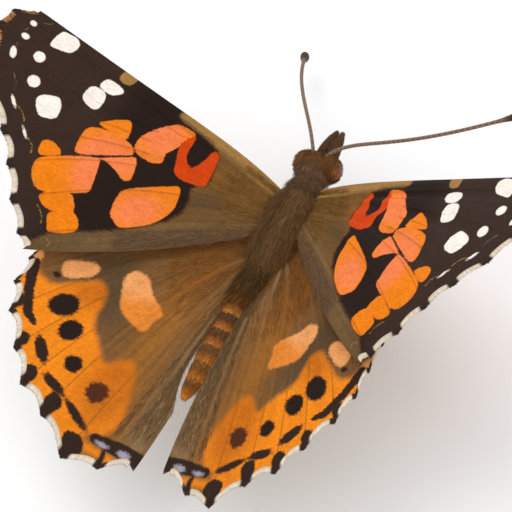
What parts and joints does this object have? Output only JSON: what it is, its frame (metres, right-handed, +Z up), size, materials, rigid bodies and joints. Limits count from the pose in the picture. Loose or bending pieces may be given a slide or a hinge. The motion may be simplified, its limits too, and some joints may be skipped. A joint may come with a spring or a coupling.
{
  "type": "painted lady butterfly",
  "caption": "Life-size still model of a painted lady butterfly standing with its patterned wings half open.",
  "frame": {"origin": "middle of the butterfly's length and breadth, on the floor that its feet stand on", "axes": "+Y from the tail to the head, +Z up, +X to the butterfly's own right"},
  "size_m": [0.051, 0.044, 0.0226],
  "materials": {
    "thorax": "dark brown body under olive-brown hair",
    "abdomen": "brown scales with an orange rear edge to each ring",
    "head": "grey-brown scales and short hair",
    "proboscis": "dark brown, smooth, coiled",
    "eye": "orange-brown, glossy, of fine facets",
    "antenna": "dark brown ringed with pale scales, club tipped with cream",
    "palp": "grey-brown scales, paler below",
    "forewing": "orange and black-brown scales with white spots near the tip",
    "hindwing": "orange scales with a row of dark round spots and a brown hairy base",
    "leg_front": "short folded leg with brown and cream hair",
    "leg_mid": "brown and cream scales",
    "leg_hind": "brown and cream scales"
  },
  "bodies": {
    "root": {"thorax": "thorax", "abdomen": "abdomen", "head": "head", "proboscis": "proboscis", "eye_left": "eye", "eye_right": "eye", "antenna_left": "antenna", "antenna_right": "antenna", "palp_left": "palp", "palp_right": "palp", "forewing_left": "forewing", "forewing_right": "forewing", "hindwing_left": "hindwing", "hindwing_right": "hindwing", "leg_front_left": "leg_front", "leg_front_right": "leg_front", "leg_mid_left": "leg_mid", "leg_mid_right": "leg_mid", "leg_hind_left": "leg_hind", "leg_hind_right": "leg_hind"}
  },
  "joints": []
}
